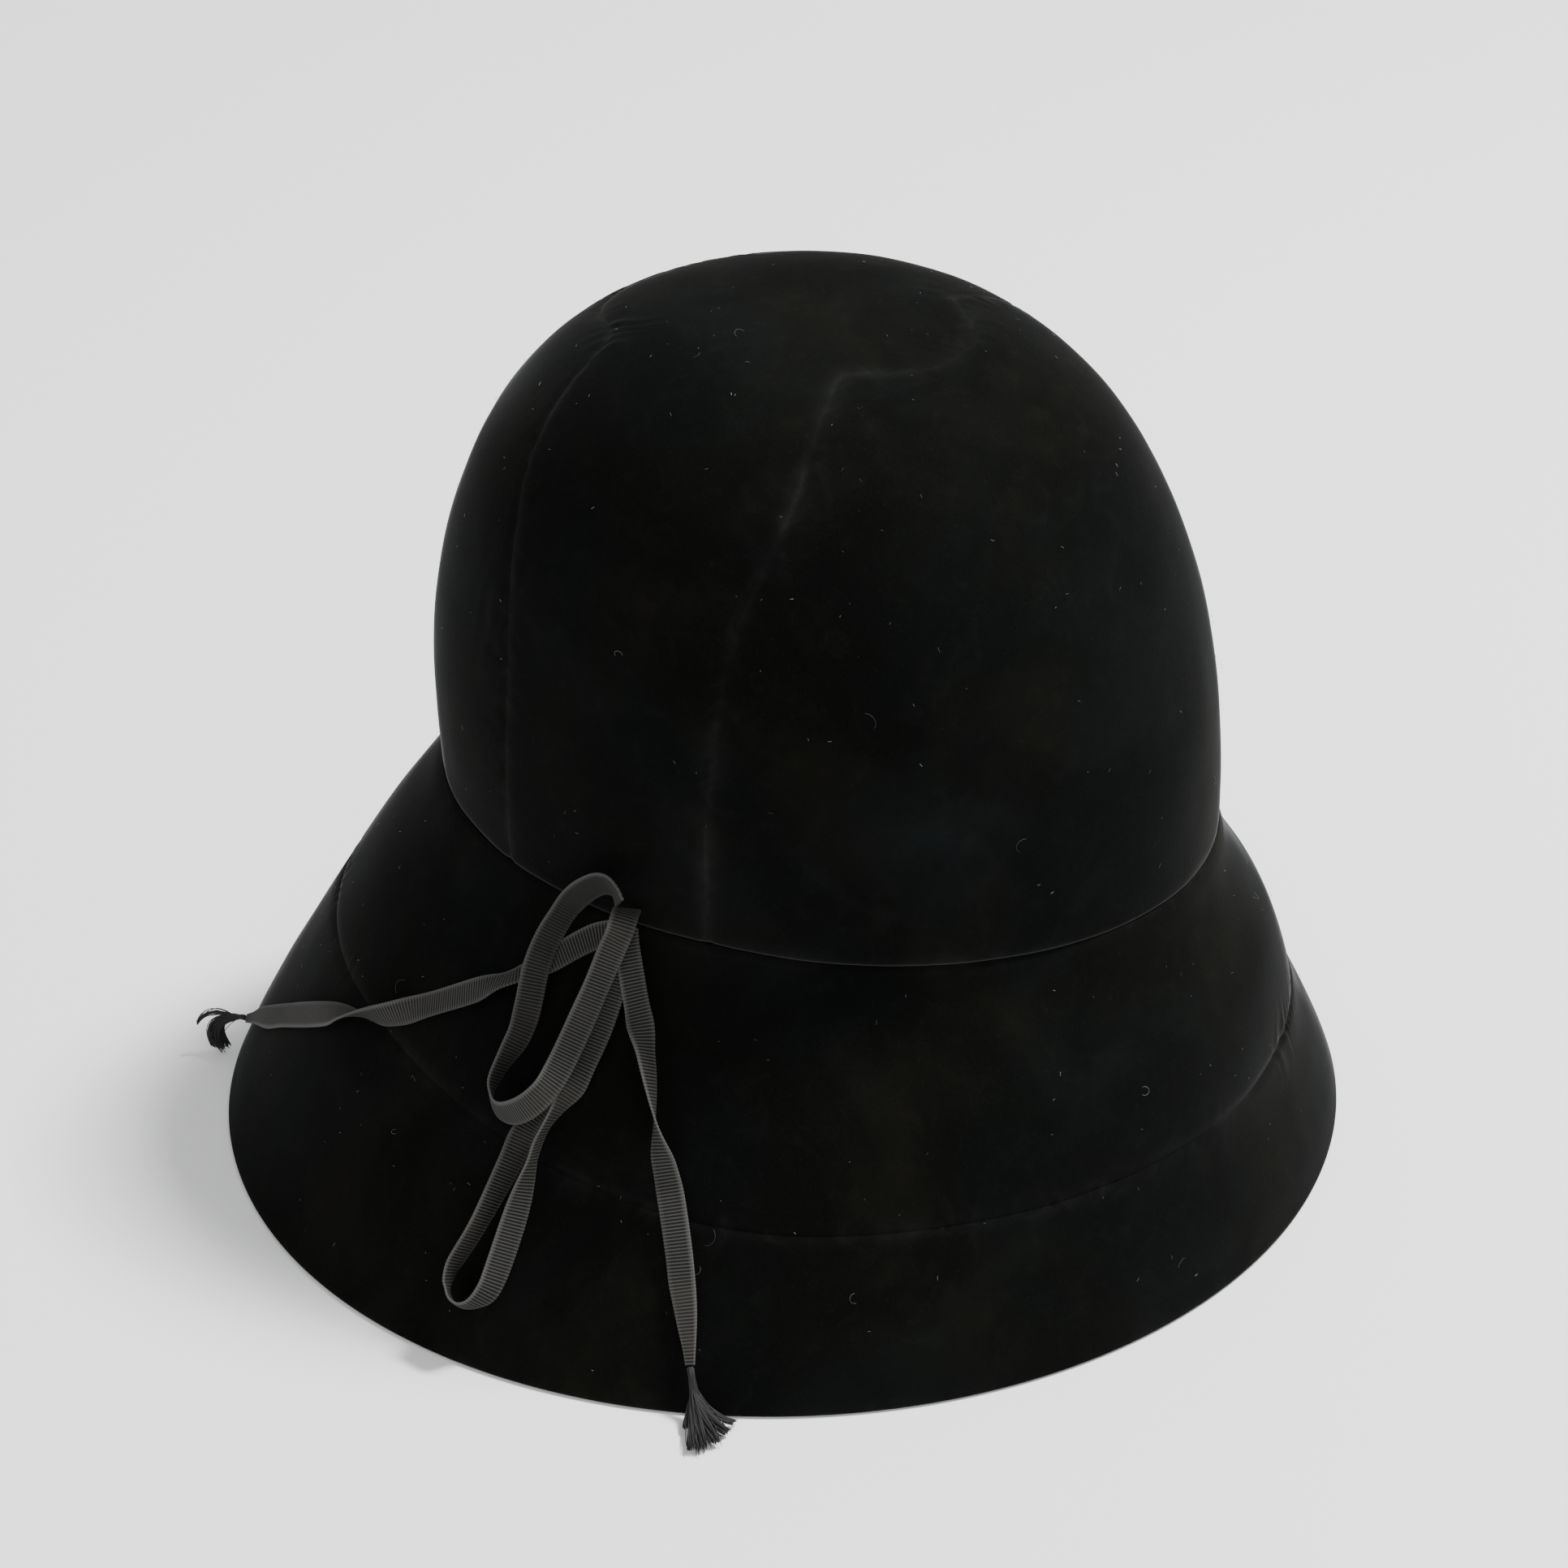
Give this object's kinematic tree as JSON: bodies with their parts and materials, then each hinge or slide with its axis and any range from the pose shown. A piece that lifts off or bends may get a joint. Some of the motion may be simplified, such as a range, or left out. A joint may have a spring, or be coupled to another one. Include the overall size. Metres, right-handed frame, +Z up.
{
  "type": "cloche hat",
  "caption": "Soft velvet cloche hat with a sewn crown, a bell brim with a stitched ring, and a narrow ribbon bow with tasselled tails.",
  "frame": {"origin": "on the surface that the hat stands on, under the middle of its brim", "axes": "+Z up, the hat's front towards -Y, the wearer's right and the bow towards -X"},
  "size_m": [0.2936, 0.285, 0.2236],
  "materials": {
    "velvet": "short black pile, lighter at grazing angles",
    "grosgrain": "ribbed, dull sheen",
    "fringe": "frayed silky thread"
  },
  "bodies": {
    "root": {"crown_front": "velvet", "crown_centre": "velvet", "crown_back": "velvet", "brim_upper": "velvet", "brim_lower": "velvet", "ribbon_large_loop": "grosgrain", "ribbon_small_loop": "grosgrain", "ribbon_side_tail": "grosgrain", "ribbon_front_tail": "grosgrain", "side_tassel": "fringe", "front_tassel": "fringe"}
  },
  "joints": []
}
